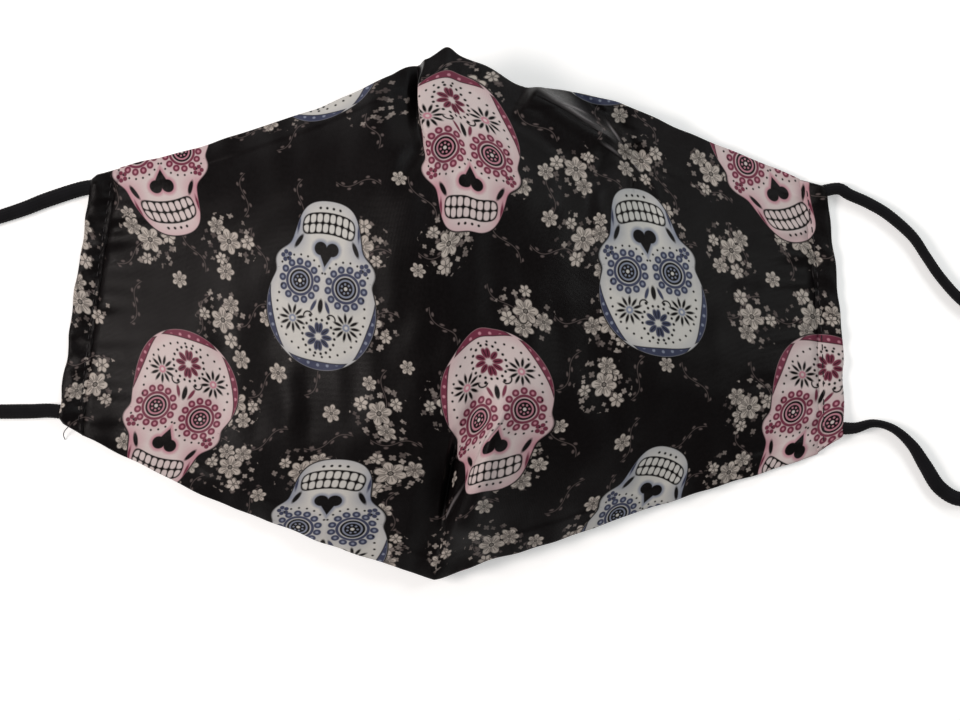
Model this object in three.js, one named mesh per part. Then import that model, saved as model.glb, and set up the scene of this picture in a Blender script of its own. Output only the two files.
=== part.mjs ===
// A shaped cloth face mask, lying on its side hems with its outer face up.
// One printed panel is gathered by a nose dart and a chin dart, and hangs on two ear loops.
// Lengths are millimetres: +X runs to the right hem, +Y to the nose and +Z up out of the cloth.
import * as THREE from "three";

// Driving sizes of the panel
const panelWidth = 219; // widest, between the two side hems
const panelLength = 156; // nose peak to chin
const crownHeight = 36; // from the surface below to the highest fold
const clothWall = 1.8; // two layers of cloth
const leftSideBow = 0.6; // how far each side edge swells out of straight
const rightSideBow = 1.9;
const noseHollowDepth = 8; // cloth sunk beside the nose dart
const noseFlapLift = 2.5; // hem pushed up on the other side of that dart
const noseDartWidth = 16; // how far the hollow spreads from the dart
const chinDartDepth = 5.5; // valley along the chin dart
const chinDartWidth = 11; // how far that valley spreads to each side
const seamTurn = 1.2; // half the width in which a dart's edge turns over

// Driving sizes of the side hems and the ear loops
const hemWidth = 7.5;
const hemThickness = 3;
const hemSlant = 3; // how far the hem's outer corners draw in
const hemPucker = 0.35; // wave left by the stitches
const pleatLength = 15; // one wave of that pucker
const cordDiameter = 4.2;
const cordCover = 0.6; // cloth over the sewn-in end of a cord
const coverLength = 6; // how far that swelling runs to each side of the cord
const cordLead = 6; // straight stretch where a cord leaves its hem
const gap = 0.3; // clearance between separate pieces

// Mesh steps
const panelColumns = 50;
const panelRows = 34;
const hemSteps = 24;
const cordSides = 8;
const cordStepDiameters = 2.5;

// The panel's edges. x and y are shares of half the panel's width and length, z of the crown height.
// at runs across the panel from the left hem, -1, over the darts, 0, to the right hem, 1.
const sections = [
  { at: -1.0, topX: -0.905, topY: 0.565, topZ: 0.06, lowX: -1.006, lowY: -0.463, lowZ: 0.06, crown: 0.09 },
  { at: -0.85, topX: -0.76, topY: 0.616, topZ: 0.09, lowX: -0.855, lowY: -0.563, lowZ: 0.07, crown: 0.24 },
  { at: -0.65, topX: -0.588, topY: 0.688, topZ: 0.14, lowX: -0.669, lowY: -0.69, lowZ: 0.09, crown: 0.47 },
  { at: -0.45, topX: -0.41, topY: 0.762, topZ: 0.25, lowX: -0.475, lowY: -0.8, lowZ: 0.13, crown: 0.72 },
  { at: -0.25, topX: -0.23, topY: 0.86, topZ: 0.42, lowX: -0.283, lowY: -0.895, lowZ: 0.18, crown: 0.94 },
  { at: -0.12, topX: -0.146, topY: 0.91, topZ: 0.52, lowX: -0.162, lowY: -0.953, lowZ: 0.22, crown: 1.0 },
  { at: 0.0, topX: -0.078, topY: 0.941, topZ: 0.6, lowX: -0.046, lowY: -1.0, lowZ: 0.25, crown: 0.98 },
  { at: 0.085, topX: -0.014, topY: 1.0, topZ: 0.58, lowX: 0.045, lowY: -0.966, lowZ: 0.24, crown: 0.95 },
  { at: 0.135, topX: 0.027, topY: 0.962, topZ: 0.6, lowX: 0.1, lowY: -0.937, lowZ: 0.23, crown: 0.93 },
  { at: 0.2, topX: 0.092, topY: 0.926, topZ: 0.62, lowX: 0.162, lowY: -0.909, lowZ: 0.22, crown: 0.91 },
  { at: 0.3, topX: 0.201, topY: 0.852, topZ: 0.58, lowX: 0.27, lowY: -0.868, lowZ: 0.2, crown: 0.85 },
  { at: 0.42, topX: 0.313, topY: 0.852, topZ: 0.4, lowX: 0.388, lowY: -0.812, lowZ: 0.17, crown: 0.75 },
  { at: 0.55, topX: 0.434, topY: 0.815, topZ: 0.28, lowX: 0.527, lowY: -0.745, lowZ: 0.13, crown: 0.62 },
  { at: 0.7, topX: 0.604, topY: 0.718, topZ: 0.18, lowX: 0.684, lowY: -0.675, lowZ: 0.1, crown: 0.43 },
  { at: 0.85, topX: 0.777, topY: 0.617, topZ: 0.11, lowX: 0.842, lowY: -0.608, lowZ: 0.08, crown: 0.25 },
  { at: 1.0, topX: 0.95, topY: 0.522, topZ: 0.06, lowX: 1.0, lowY: -0.528, lowZ: 0.06, crown: 0.09 },
];

// How far the line from chin dart to nose dart bows off straight, in shares of half the width.
const centreLine = [
  { along: -1.0, bow: 0.0 },
  { along: -0.77, bow: 0.035 },
  { along: -0.45, bow: 0.075 },
  { along: 0.0, bow: 0.052 },
  { along: 0.45, bow: 0.032 },
  { along: 0.75, bow: 0.0 },
  { along: 1.0, bow: 0.0 },
];

// Folds pressed into the dome. Places are shares of half the width and length, left and right are
// the fold's widths to each side in shares of half the width, and rise is a share of the crown height.
// starts and ends are the shares of its length over which a fold fades in and out.
const folds = [
  {
    name: "noseRidge", fromX: 0.2, fromY: 0.85, toX: 0.48, toY: 0.6,
    left: 0.045, right: 0.12, rise: 0.13, starts: 0.1, ends: 0.3,
  },
  {
    name: "backValley", fromX: 0.26, fromY: 0.92, toX: 0.56, toY: 0.68,
    left: 0.08, right: 0.075, rise: -0.11, starts: 0.3, ends: 0.4,
  },
  {
    name: "pinch", fromX: 0.44, fromY: 0.64, toX: 0.54, toY: 0.56,
    left: 0.05, right: 0.05, rise: -0.1, starts: 0.45, ends: 0.45,
  },
  {
    name: "pinchTop", fromX: 0.48, fromY: 0.62, toX: 0.44, toY: 0.82,
    left: 0.035, right: 0.035, rise: -0.04, starts: 0.3, ends: 0.4,
  },
  {
    name: "pinchTail", fromX: 0.49, fromY: 0.6, toX: 0.56, toY: 0.22,
    left: 0.05, right: 0.06, rise: -0.06, starts: 0.3, ends: 0.6,
  },
  {
    name: "pinchRoll", fromX: 0.4, fromY: 0.58, toX: 0.43, toY: 0.18,
    left: 0.07, right: 0.06, rise: 0.045, starts: 0.3, ends: 0.6,
  },
  {
    name: "chinRidge", fromX: -0.02, fromY: -0.9, toX: 0.22, toY: -0.05,
    left: 0.07, right: 0.16, rise: 0.11, starts: 0.15, ends: 0.5,
  },
  {
    name: "leftValley", fromX: -0.57, fromY: 0.25, toX: -0.6, toY: -0.6,
    left: 0.11, right: 0.11, rise: -0.045, starts: 0.4, ends: 0.4,
  },
  {
    name: "leftRoll", fromX: -0.36, fromY: 0.55, toX: -0.34, toY: -0.2,
    left: 0.12, right: 0.12, rise: 0.035, starts: 0.4, ends: 0.4,
  },
];

// Routes of the two ear loops on the surface below, chosen by hand, from the nose end to the chin end.
const leftCordRoute = [
  [-121.4, 35.2], [-127.8, 32.4], [-135.4, 29.8], [-144.6, 26.8], [-154.5, 23], [-164.5, 17.4],
  [-173.5, 9.6], [-179, 0.4], [-180, -9], [-176.6, -18], [-169.5, -24.6], [-160, -27.8],
  [-149, -28.8], [-137, -28.8], [-126, -28.7],
];
const rightCordRoute = [
  [119.2, 36.1], [124.8, 33.6], [130.8, 30], [137.8, 23.8], [142, 17.7], [146.2, 11.6], [152.2, 4.9],
  [160, -1], [168.2, -8.2], [174.2, -17.6], [176.4, -28.2], [174.6, -38.4], [169.4, -47], [161.6, -53],
  [152.6, -55], [146.2, -51.6], [141.8, -45], [137.8, -38.8], [132.4, -34], [126.4, -32.3],
];
// Where the cords leave their hems, from the hem's chin end, -1, to its nose end, 1.
const leftCordEnds = { nose: 0.82, chin: -0.84 };
const rightCordEnds = { nose: 0.89, chin: -0.815 };

// A column of a table at a place between its rows, along a smooth curve.
function readTable(rows, key, column, place) {
  let row = 0;
  while (row < rows.length - 2 && place > rows[row + 1][key]) row += 1;
  const slopeAt = (index) => {
    const before = rows[Math.max(index - 1, 0)];
    const after = rows[Math.min(index + 1, rows.length - 1)];
    return (after[column] - before[column]) / (after[key] - before[key]);
  };
  const step = rows[row + 1][key] - rows[row][key];
  const share = (place - rows[row][key]) / step;
  const rest = 1 - share;
  return (
    rows[row][column] * rest * rest * (1 + 2 * share) +
    rows[row + 1][column] * share * share * (3 - 2 * share) +
    step * share * rest * (slopeAt(row) * rest - slopeAt(row + 1) * share)
  );
}

// One at the middle of a fold, nothing at its width and beyond.
function swell(distance, width) {
  const share = Math.min(Math.abs(distance / width), 1);
  return (1 - share * share) ** 2;
}

function foldHeight(fold, x, y) {
  const from = new THREE.Vector2((fold.fromX * panelWidth) / 2, (fold.fromY * panelLength) / 2);
  const line = new THREE.Vector2((fold.toX * panelWidth) / 2, (fold.toY * panelLength) / 2).sub(from);
  const place = new THREE.Vector2(x, y).sub(from);
  const share = THREE.MathUtils.clamp(place.dot(line) / line.lengthSq(), 0, 1);
  const aside = line.cross(place) / line.length();
  const width = ((aside > 0 ? fold.left : fold.right) * panelWidth) / 2;
  const fade =
    THREE.MathUtils.smoothstep(share, 0, fold.starts) * THREE.MathUtils.smoothstep(1 - share, 0, fold.ends);
  return fold.rise * crownHeight * fade * swell(aside, width);
}

// The nose dart leaves a hollow to its left and a lifted flap to its right, the chin dart a valley.
function dartHeight(fromSeam, along) {
  const noseFade = THREE.MathUtils.smoothstep(along, 0.5, 0.78);
  const overFlap = THREE.MathUtils.smoothstep(fromSeam, -seamTurn, seamTurn);
  const hollow = -noseHollowDepth * swell(fromSeam, noseDartWidth) * (1 - overFlap);
  const flap = noseFlapLift * swell(fromSeam, noseDartWidth) * overFlap;
  const chinFade = THREE.MathUtils.smoothstep(-along, 0.32, 0.62);
  return noseFade * (hollow + flap) - chinFade * chinDartDepth * swell(fromSeam, chinDartWidth);
}

const section = (column, across) => readTable(sections, "at", column, across);

// A point of the panel's outer face; along runs from the bottom edge, -1, to the top edge, 1.
function clothPoint(across, along) {
  const share = (along + 1) / 2;
  const between = (low, top, place) => THREE.MathUtils.lerp(section(low, place), section(top, place), share);
  const bow = readTable(centreLine, "along", "bow", along);
  const sideBow = (across < 0 ? -leftSideBow : rightSideBow) * across ** 4 * (1 - along * along);
  const x = ((between("lowX", "topX", across) + bow * (1 - Math.abs(across))) * panelWidth) / 2 + sideBow;
  const seamX = ((between("lowX", "topX", 0) + bow) * panelWidth) / 2;
  const y = (between("lowY", "topY", across) * panelLength) / 2;
  const arch = 1 - Math.abs(along) ** 2.4;
  const swollen = section("crown", across) - (section("lowZ", across) + section("topZ", across)) / 2;
  const rise = between("lowZ", "topZ", across) + swollen * arch;
  const relief = folds.reduce((sum, fold) => sum + foldHeight(fold, x, y), dartHeight(x - seamX, along));
  const flatSides = 1 - across ** 8;
  return new THREE.Vector3(x, y, rise * crownHeight + relief * flatSides);
}

// The outward direction of the cloth, taken over a short reach so that sharp folds stay open inside.
function clothNormal(across, along) {
  const reach = 0.03;
  const pointAt = (x, y) => clothPoint(THREE.MathUtils.clamp(x, -1, 1), THREE.MathUtils.clamp(y, -1, 1));
  const right = pointAt(across + reach, along).sub(pointAt(across - reach, along));
  const up = pointAt(across, along + reach).sub(pointAt(across, along - reach));
  return right.cross(up).normalize();
}

// Grid lines lie closer together at the darts and at the edges.
const columnPlace = (share) => share * (0.5 + 0.5 * share * share);
const rowPlace = (share) => 0.6 * share + 0.4 * Math.sin((share * Math.PI) / 2);

function panelGeometry() {
  const outer = [];
  const inner = [];
  for (let row = 0; row <= panelRows; row += 1) {
    for (let column = 0; column <= panelColumns; column += 1) {
      const across = columnPlace((2 * column) / panelColumns - 1);
      const along = rowPlace((2 * row) / panelRows - 1);
      const point = clothPoint(across, along);
      outer.push(...point);
      inner.push(...point.addScaledVector(clothNormal(across, along), -clothWall));
    }
  }
  const width = panelColumns + 1;
  const layer = width * (panelRows + 1);
  const faces = [];
  const quad = (a, b, c, d) => faces.push(a, b, c, a, c, d);
  for (let row = 0; row < panelRows; row += 1) {
    for (let column = 0; column < panelColumns; column += 1) {
      const corner = row * width + column;
      quad(corner, corner + 1, corner + width + 1, corner + width);
      quad(layer + corner, layer + corner + width, layer + corner + width + 1, layer + corner + 1);
    }
  }
  const rim = (from, to) => quad(from, layer + from, layer + to, to);
  for (let column = 0; column < panelColumns; column += 1) {
    rim(column, column + 1);
    rim(panelRows * width + column + 1, panelRows * width + column);
  }
  for (let row = 0; row < panelRows; row += 1) {
    rim((row + 1) * width, row * width);
    rim(row * width + panelColumns, (row + 1) * width + panelColumns);
  }
  const geometry = new THREE.BufferGeometry();
  geometry.setAttribute("position", new THREE.Float32BufferAttribute([...outer, ...inner], 3));
  geometry.setIndex(faces);
  return geometry;
}

// A place beside the panel's side edge, on the surface below, and the way that leads out from there.
function besideEdge(side, along, out) {
  const reach = 0.02;
  const edgePoint = (place) => clothPoint(side, place).setZ(0);
  const direction = edgePoint(along + reach).sub(edgePoint(along - reach)).normalize();
  const outward = new THREE.Vector3(direction.y, -direction.x, 0).multiplyScalar(side);
  return { point: edgePoint(along).addScaledVector(outward, out), outward };
}

// A flat band with a rounded back, thicker where the cord's ends are sewn in.
function hemGeometry(side, cordEnds) {
  const profile = [
    { out: 0, up: 0 }, { out: 0.94, up: 0 }, { out: 1, up: 0.25 }, { out: 1, up: 0.7 },
    { out: 0.9, up: 0.95 }, { out: 0.6, up: 1 }, { out: 0.25, up: 0.98 }, { out: 0, up: 0.85 },
  ];
  const halfLength = besideEdge(side, 1, 0).point.distanceTo(besideEdge(side, -1, 0).point) / 2;
  const positions = [];
  for (let step = 0; step <= hemSteps; step += 1) {
    const share = (2 * step) / hemSteps - 1;
    for (const { out, up } of profile) {
      const along = share * (1 - (hemSlant * out) / halfLength);
      const { point } = besideEdge(side, along, gap + out * hemWidth);
      const fromCord = Math.min(Math.abs(along - cordEnds.nose), Math.abs(along - cordEnds.chin));
      const cover = Math.max(cordDiameter + cordCover - hemThickness, 0);
      const swollen = cover * out * swell(fromCord * halfLength, coverLength);
      const pucker = hemPucker * Math.cos((2 * Math.PI * along * halfLength) / pleatLength);
      positions.push(point.x, point.y, up * (hemThickness + pucker + swollen));
    }
  }
  return loftGeometry(positions, profile.length, side);
}

// Rings of points joined into one closed solid with flat ends.
function loftGeometry(positions, ringSize, side) {
  const faces = [];
  const triangle = (a, b, c) => (side > 0 ? faces.push(a, b, c) : faces.push(a, c, b));
  const rings = positions.length / 3 / ringSize;
  for (let ring = 0; ring < rings - 1; ring += 1) {
    for (let index = 0; index < ringSize; index += 1) {
      const here = ring * ringSize + index;
      const beside = ring * ringSize + ((index + 1) % ringSize);
      triangle(here, here + ringSize, beside + ringSize);
      triangle(here, beside + ringSize, beside);
    }
  }
  const lastRing = (rings - 1) * ringSize;
  for (let index = 1; index < ringSize - 1; index += 1) {
    triangle(0, index, index + 1);
    triangle(lastRing, lastRing + index + 1, lastRing + index);
  }
  const geometry = new THREE.BufferGeometry();
  geometry.setAttribute("position", new THREE.Float32BufferAttribute(positions, 3));
  geometry.setIndex(faces);
  return geometry;
}

// A round elastic cord lying on the surface below, from one end of its hem to the other.
function cordGeometry(side, cordEnds, route) {
  const radius = cordDiameter / 2;
  const leaving = (along, out) => besideEdge(side, along, gap + hemWidth + gap + out).point.setZ(radius);
  const points = [
    leaving(cordEnds.nose, 0),
    leaving(cordEnds.nose, cordLead / 2),
    ...route.map(([x, y]) => new THREE.Vector3(x, y, radius)),
    leaving(cordEnds.chin, cordLead / 2),
    leaving(cordEnds.chin, 0),
  ];
  const path = new THREE.CatmullRomCurve3(points);
  const ring = new THREE.Shape();
  for (let corner = 0; corner < cordSides; corner += 1) {
    const turn = (2 * Math.PI * corner) / cordSides;
    const [x, y] = [radius * Math.cos(turn), radius * Math.sin(turn)];
    if (corner === 0) ring.moveTo(x, y);
    else ring.lineTo(x, y);
  }
  const steps = Math.round(path.getLength() / (cordStepDiameters * cordDiameter));
  return new THREE.ExtrudeGeometry(ring, { steps, bevelEnabled: false, extrudePath: path });
}

function piece(name, geometry, material) {
  const mesh = new THREE.Mesh(geometry, material);
  mesh.name = name;
  return mesh;
}

const printedSatin = () => new THREE.MeshStandardMaterial({ color: 0x1c181a, roughness: 0.5, metalness: 0 });
const blackElastic = () => new THREE.MeshStandardMaterial({ color: 0x0d0d10, roughness: 0.85, metalness: 0 });

const mask = new THREE.Group();
mask.add(
  piece("mask_panel", panelGeometry(), printedSatin()),
  piece("side_hem_left", hemGeometry(-1, leftCordEnds), printedSatin()),
  piece("side_hem_right", hemGeometry(1, rightCordEnds), printedSatin()),
  piece("ear_loop_left", cordGeometry(-1, leftCordEnds, leftCordRoute), blackElastic()),
  piece("ear_loop_right", cordGeometry(1, rightCordEnds, rightCordRoute), blackElastic()),
);

export default mask;
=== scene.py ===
import math

import bpy
import numpy as np
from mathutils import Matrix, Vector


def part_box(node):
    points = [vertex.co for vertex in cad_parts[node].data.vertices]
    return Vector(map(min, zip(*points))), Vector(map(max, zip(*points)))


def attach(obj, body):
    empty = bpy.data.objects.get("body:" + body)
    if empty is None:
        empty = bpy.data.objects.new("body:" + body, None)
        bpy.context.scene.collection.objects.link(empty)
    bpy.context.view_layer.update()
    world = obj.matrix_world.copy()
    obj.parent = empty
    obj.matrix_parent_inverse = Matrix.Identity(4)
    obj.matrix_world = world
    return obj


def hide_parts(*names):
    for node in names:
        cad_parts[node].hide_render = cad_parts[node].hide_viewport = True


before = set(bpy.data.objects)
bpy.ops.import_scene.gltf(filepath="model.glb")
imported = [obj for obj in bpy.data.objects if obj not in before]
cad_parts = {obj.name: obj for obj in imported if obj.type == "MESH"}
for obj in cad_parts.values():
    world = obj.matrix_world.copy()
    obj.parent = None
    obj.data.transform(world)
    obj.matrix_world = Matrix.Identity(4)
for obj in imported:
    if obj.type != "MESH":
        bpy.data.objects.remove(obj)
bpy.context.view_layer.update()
mm = 0.001


# Camera, floor and lights

stage = {
    "middleX": 8.6 * mm,  # point of the floor in the middle of the picture
    "middleY": -13.35 * mm,
    "cameraHeight": 750 * mm,
    "pictureWidth": 288 * mm,  # stretch of floor that the picture's width takes in
    "floorSize": 3.0,
    "floorColour": (0.86, 0.86, 0.855, 1),
    "floorGlow": 0.42,  # keeps the floor white around a dark mask
    "worldStrength": 0.26,
    "lights": [
        # name, place, size, power, colour
        ("softWindow", (-0.6, 0.0, 0.6), 0.28, 4.6, (1.0, 0.92, 0.89)),
        ("skyFill", (0.3, 0.74, 0.6), 0.22, 1.7, (0.92, 0.97, 1.0)),
        ("roomSide", (0.62, 0.27, 0.58), 0.28, 1.7, (0.95, 0.98, 0.96)),
    ],
}


def makeStage():
    camera = bpy.data.cameras.new("camera")
    camera.sensor_width = 36.0
    camera.lens = camera.sensor_width * stage["cameraHeight"] / stage["pictureWidth"]
    eye = bpy.data.objects.new("camera", camera)
    eye.location = (stage["middleX"], stage["middleY"], stage["cameraHeight"])
    bpy.context.scene.collection.objects.link(eye)
    bpy.context.scene.camera = eye
    bpy.context.scene.view_settings.view_transform = "Standard"

    bpy.ops.mesh.primitive_plane_add(size=stage["floorSize"])
    floor = bpy.context.object
    floor.name = "floor"
    paint = bpy.data.materials.new("paleFloor")
    paint.use_nodes = True
    shader = paint.node_tree.nodes["Principled BSDF"]
    shader.inputs["Base Color"].default_value = stage["floorColour"]
    shader.inputs["Roughness"].default_value = 0.8
    shader.inputs["Emission Color"].default_value = stage["floorColour"]
    shader.inputs["Emission Strength"].default_value = stage["floorGlow"]
    floor.data.materials.append(paint)

    world = bpy.data.worlds.new("softRoom")
    world.use_nodes = True
    background = world.node_tree.nodes["Background"]
    background.inputs["Color"].default_value = (1, 1, 1, 1)
    background.inputs["Strength"].default_value = stage["worldStrength"]
    bpy.context.scene.world = world
    for name, place, size, power, colour in stage["lights"]:
        lamp = bpy.data.lights.new(name, "AREA")
        lamp.size = size
        lamp.energy = power
        lamp.color = colour
        holder = bpy.data.objects.new(name, lamp)
        holder.location = place
        aim = -holder.location
        holder.rotation_euler = aim.to_track_quat("-Z", "Y").to_euler()
        bpy.context.scene.collection.objects.link(holder)


makeStage()
print("stage set")


# Shader maths written as Python expressions

class Sum:
    # wraps a shader socket that carries one number
    def __init__(self, tree, socket):
        self.tree = tree
        self.socket = socket

    def math(self, operation, *others, clamp=False):
        return self.tree.math(operation, self, *others, clamp=clamp)

    def __add__(self, other):
        return self.math("ADD", other)

    def __sub__(self, other):
        return self.math("SUBTRACT", other)

    def __rsub__(self, other):
        return self.tree.math("SUBTRACT", other, self)

    def __mul__(self, other):
        return self.math("MULTIPLY", other)

    def __truediv__(self, other):
        return self.math("DIVIDE", other)

    def __rtruediv__(self, other):
        return self.tree.math("DIVIDE", other, self)

    __radd__ = __add__
    __rmul__ = __mul__

    def __neg__(self):
        return self.math("MULTIPLY", -1.0)

    def __abs__(self):
        return self.math("ABSOLUTE")

    def least(self, other):
        return self.math("MINIMUM", other)

    def most(self, other):
        return self.math("MAXIMUM", other)

    def blendMin(self, other, reach):
        return self.math("SMOOTH_MIN", other, reach)

    def floor(self):
        return self.math("FLOOR")

    def fract(self):
        return self.math("FRACT")

    def sin(self):
        return self.math("SINE")

    def cos(self):
        return self.math("COSINE")

    def root(self):
        return self.math("SQRT")


class Tree:
    # a material's nodes, with one way to add any of them
    def __init__(self, name):
        self.material = bpy.data.materials.new(name)
        self.material.use_nodes = True
        self.nodes = self.material.node_tree.nodes
        self.links = self.material.node_tree.links
        self.shader = self.nodes["Principled BSDF"]

    def add(self, kind, settings, values, *outs):
        # values go to sockets by number or name; gives back the outputs asked for, or else the first
        node = self.nodes.new(kind)
        for key, value in settings.items():
            setattr(node, key, value)
        for key, value in values.items():
            self.feed(node.inputs[key], value)
        given = [Sum(self, node.outputs[out]) for out in outs or (0,)]
        return given if len(given) > 1 else given[0]

    def feed(self, place, value):
        if isinstance(value, Sum):
            self.links.new(value.socket, place)
        else:
            place.default_value = value

    def math(self, operation, *values, clamp=False):
        settings = {"operation": operation, "use_clamp": clamp}
        return self.add("ShaderNodeMath", settings, dict(enumerate(values)))

    def place(self, kind):
        # UV is the flat cloth, Object a point in the piece's own space
        return self.add("ShaderNodeTexCoord", {}, {}, kind)

    def blend(self, share, first, second):
        # a colour between two others
        return self.add("ShaderNodeMix", {"data_type": "RGBA"}, {0: share, 6: first, 7: second}, 2)

    def noise(self, place, scale, detail):
        values = {"Vector": place, "Scale": scale, "Detail": detail}
        return self.add("ShaderNodeTexNoise", {"noise_dimensions": "2D"}, values)

    def bump(self, height, strength, distance):
        values = {"Height": height, "Strength": strength, "Distance": distance}
        self.feed(self.shader.inputs["Normal"], self.add("ShaderNodeBump", {}, values))

    def finish(self, values):
        for key, value in values.items():
            self.feed(self.shader.inputs[key], value)
        return self.material


def colour(red, green, blue):
    # a screen colour, 0 to 255, as the shader's own light values
    straight = [(part / 255) ** 2.2 for part in (red, green, blue)]
    return (*straight, 1.0)


# Ear loops: round knitted elastic, lying on the floor

earLoop = {
    "diameter": 4.2 * mm,
    "wales": 14,  # columns of knitted loops round the cord
    "loopPitch": 0.95 * mm,
    "relief": 0.2 * mm,
    "waleShare": 0.45,  # share of the relief in the grooves between wales, the rest is in the loops
    "chevronLean": 1.1,  # how fast a loop's sides lag behind its middle
    "sides": 70,
    "ringStep": 0.19 * mm,
    "breadthSpan": 41,  # rings over which the breadth is evened out
    "pathStep": 20,  # rings from one point of the cord's route to the next
    "tuckedIn": 2.5 * mm,  # end inside the hem
    # the soft cord twists: shares of its length, and its breadth there as seen from above
    "leftBreadth": [(0, 1.08), (0.08, 1.12), (0.2, 1), (0.8, 0.98), (0.9, 1.1), (1, 1.04)],
    "rightBreadth": [
        (0, 0.9), (0.06, 0.86), (0.15, 0.82), (0.2, 0.74), (0.3, 0.76), (0.5, 0.95), (0.75, 1.08),
        (0.8, 1.1), (0.84, 0.98), (0.87, 0.76), (0.91, 0.6), (0.94, 0.56), (0.97, 0.85), (1, 1),
    ],
    "leftRoute": [
        (-108.3, 38.2), (-111.3, 37.7), (-121.4, 34.4), (-127.8, 31.9), (-135.4, 29.4), (-144.6, 26.6),
        (-154.5, 23), (-164.5, 17.4), (-173.5, 9.6), (-179, 0.4), (-180, -9), (-176.6, -18),
        (-169.5, -24.6), (-160, -27.8), (-149, -28.8), (-137, -28.8), (-126, -28.7), (-120.5, -28.5),
        (-117.5, -28.8),
    ],
    "rightRoute": [
        (112.7, 37.4), (115.7, 37.9), (119.2, 36.1), (124.8, 33.6), (130.8, 30), (137.8, 23.8),
        (142, 17.7), (146.2, 11.6), (152.2, 4.9), (160, -1), (168.2, -8.2), (174.2, -17.6), (176.4, -28.2),
        (174.6, -38.4), (169.4, -47), (161.6, -53), (152.6, -55), (146.2, -51.6), (141.8, -45),
        (137.8, -38.8), (132.4, -34), (126.4, -32.3), (120.7, -33.7), (117.7, -33.7),
    ],
}


def smoothLine(points, step):
    # a curve through the points, cut into even steps
    ends = np.vstack([2 * points[0] - points[1], points, 2 * points[-1] - points[-2]])
    pieces = []
    for first, start, end, last in zip(ends, ends[1:], ends[2:], ends[3:]):
        t = np.linspace(0, 1, 40, endpoint=False)[:, None]
        bend = 2 * first - 5 * start + 4 * end - last
        twist = -first + 3 * start - 3 * end + last
        pieces.append(start + 0.5 * ((end - first) * t + bend * t**2 + twist * t**3))
    line = np.vstack(pieces + [points[-1:]])
    run = np.concatenate([[0], np.cumsum(np.linalg.norm(np.diff(line, axis=0), axis=1))])
    places = np.linspace(0, run[-1], int(round(run[-1] / step)) + 1)
    return np.stack([np.interp(places, run, line[:, axis]) for axis in range(3)], 1), run[-1]


def unit(vectors):
    return vectors / np.linalg.norm(vectors, axis=-1, keepdims=True)


def meshPiece(name, points, faces, materials, uv=None, faceMaterial=None):
    mesh = bpy.data.meshes.new(name)
    mesh.from_pydata(np.asarray(points, float).tolist(), [], faces)
    for material in materials:
        mesh.materials.append(material)
    mesh.polygons.foreach_set("use_smooth", np.ones(len(mesh.polygons), bool))
    if faceMaterial is not None:
        mesh.polygons.foreach_set("material_index", np.asarray(faceMaterial, np.int32))
    if uv is not None:
        layer = mesh.uv_layers.new(name="flatCloth")
        layer.data.foreach_set("uv", np.asarray(uv, np.float32).ravel())
    mesh.update()
    piece = bpy.data.objects.new(name, mesh)
    bpy.context.scene.collection.objects.link(piece)
    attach(piece, "root")
    return piece


def ringFaces(rings, sides):
    # quads between closed rings
    ring, side = np.meshgrid(np.arange(rings - 1), np.arange(sides), indexing="ij")
    here = (ring * sides + side).ravel()
    beside = (ring * sides + (side + 1) % sides).ravel()
    return np.stack([here, beside, beside + sides, here + sides], 1).tolist()


def elasticMaterial():
    tree = Tree("knittedElastic")
    place = tree.place("Object")
    fuzz = tree.noise(place, 2600.0, 3.0)
    shade = tree.noise(place, 160.0, 1.0)
    tree.bump(fuzz, 0.35, 0.0002)
    return tree.finish({
        "Base Color": tree.blend(shade, colour(16, 16, 18), colour(28, 27, 30)),
        "Roughness": 0.9,
        "Specular IOR Level": 0.16,
        "Sheen Weight": 0.03,
        "Sheen Roughness": 0.5,
    })


def makeEarLoop(name, node, route, breadth, material):
    radius = earLoop["diameter"] / 2
    points = np.array([(x * mm, y * mm, radius) for x, y in route])
    for end, beside in ((0, 1), (-1, -2)):
        outward = points[beside] - points[end]
        points[end] -= outward / np.linalg.norm(outward) * earLoop["tuckedIn"]
    line, length = smoothLine(points, earLoop["ringStep"])
    ahead = unit(np.gradient(line, axis=0))
    up = np.array([0, 0, 1.0])
    across = np.cross(ahead, up)
    turn = np.linspace(0, 2 * np.pi, earLoop["sides"], endpoint=False)
    wale = turn * earLoop["wales"] / (2 * np.pi)
    inWale = np.abs(wale % 1 - 0.5)  # 0.5 between two columns of loops
    run = np.arange(len(line)) * earLoop["ringStep"] / earLoop["loopPitch"]
    chevron = 0.5 + 0.5 * np.cos(2 * np.pi * (run[:, None] + earLoop["chevronLean"] * inWale[None, :]))
    groove = np.clip(1 - inWale * 2, 0, 1) ** 0.5
    share = earLoop["waleShare"]
    reach = radius - earLoop["relief"] * (1 - groove[None, :] * (share + (1 - share) * chevron))
    wide = np.interp(np.linspace(0, 1, len(line)), *np.transpose(breadth))
    span = earLoop["breadthSpan"]
    wide = np.convolve(np.pad(wide, span // 2, "edge"), np.ones(span) / span, "valid")
    low = np.minimum(1, 1 / wide)
    ring = (
        (np.cos(turn)[None, :] * wide[:, None])[:, :, None] * across[:, None, :]
        + (np.sin(turn)[None, :] * low[:, None])[:, :, None] * up
    ) * reach[:, :, None]
    line[:, 2] *= low  # keeps the flattened cord on the floor
    tube = (line[:, None, :] + ring).reshape(-1, 3)
    sides = earLoop["sides"]
    caps = np.vstack([line[0], line[-1]])
    faces = ringFaces(len(line), sides)
    first, last = len(tube), len(tube) + 1
    lastRing = (len(line) - 1) * sides
    for side in range(sides):
        after = (side + 1) % sides
        faces.append([after, side, first])
        faces.append([lastRing + side, lastRing + after, last])
    piece = meshPiece(name, np.vstack([tube, caps]), faces, [material])
    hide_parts(node)
    print(name, "is", round(length / mm), "mm long")


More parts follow.
